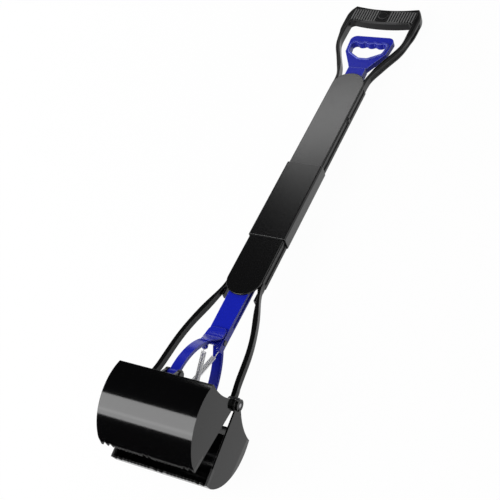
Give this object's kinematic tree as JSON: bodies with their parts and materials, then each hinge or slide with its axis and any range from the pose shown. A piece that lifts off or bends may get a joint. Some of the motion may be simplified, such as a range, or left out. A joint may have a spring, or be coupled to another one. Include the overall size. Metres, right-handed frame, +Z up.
{
  "type": "pooper scooper",
  "caption": "Long-handled folding scooper: a squeeze trigger pulls a rod and two arched links that open a pair of toothed half-round buckets.",
  "frame": {"origin": "on the floor, below the middle of the outline, with the scooper lying on its back", "axes": "+Y from the jaws towards the grip, +X along the jaw axle to the right as seen from the front, +Z up, out of the front of the handle"},
  "size_m": [0.1432, 0.8206, 0.143],
  "materials": {
    "black_gloss": "gloss moulded",
    "black_frame": "satin moulded",
    "blue_plastic": "semi-gloss moulded",
    "steel": "bright",
    "spring_steel": "bright wire"
  },
  "bodies": {
    "handle": {"upper_frame": "black_frame", "upper_cover": "black_gloss", "upper_cover_screws": "steel", "lower_frame": "black_frame", "lower_cover": "black_gloss", "lower_cover_screws": "steel", "fold_rivets": "steel", "jaw_axle": "steel", "axle_caps": "steel", "front_spring": "spring_steel", "rear_spring": "spring_steel"},
    "sleeve": {"lock_sleeve": "black_gloss"},
    "rod": {"trigger": "blue_plastic", "rod_fold_pin": "steel", "pull_rod": "blue_plastic", "rod_end_pin": "steel"},
    "front_strap": {"front_link": "blue_plastic", "front_link_pin": "steel"},
    "rear_strap": {"rear_link": "blue_plastic", "rear_link_pin": "steel"},
    "front_jaw": {"front_bucket": "black_gloss"},
    "rear_jaw": {"rear_bucket": "black_gloss"}
  },
  "joints": [
    {"name": "trigger_slide", "type": "slide", "parent": "handle", "child": "rod", "axis": [0, 0.9968, -0.0804], "range_m": [-0.0076, 0.02], "stiffness_N_per_m": 1000, "deforming": ["front_spring", "rear_spring"]},
    {"name": "sleeve_slide", "type": "slide", "parent": "handle", "child": "sleeve", "axis": [0, 0.9968, -0.0804], "range_m": [0, 0.0975]},
    {"name": "front_jaw_hinge", "type": "hinge", "parent": "handle", "child": "front_jaw", "pos_m": [0, -0.31058, 0.06955], "axis": [-1, 0, 0], "range_deg": [-9.6, 25.1]},
    {"name": "rear_jaw_hinge", "type": "hinge", "parent": "handle", "child": "rear_jaw", "pos_m": [0, -0.31058, 0.06955], "axis": [1, 0, 0], "range_deg": [-9.6, 25.1]},
    {"name": "front_link_hinge", "type": "hinge", "parent": "rod", "child": "front_strap", "pos_m": [0, -0.23483, 0.06344], "axis": [1, 0, 0], "range_deg": [-0.5, 1.1]},
    {"name": "rear_link_hinge", "type": "hinge", "parent": "rod", "child": "rear_strap", "pos_m": [0, -0.23483, 0.06344], "axis": [-1, 0, 0], "range_deg": [-0.5, 1.1]}
  ],
  "couplings": [
    {"joint": "front_jaw_hinge", "follows": "trigger_slide", "rad_per_m": 21.817},
    {"joint": "rear_jaw_hinge", "follows": "trigger_slide", "rad_per_m": 21.817},
    {"joint": "front_link_hinge", "follows": "trigger_slide", "rad_per_m": 0.87267},
    {"joint": "rear_link_hinge", "follows": "trigger_slide", "rad_per_m": 0.87267}
  ]
}
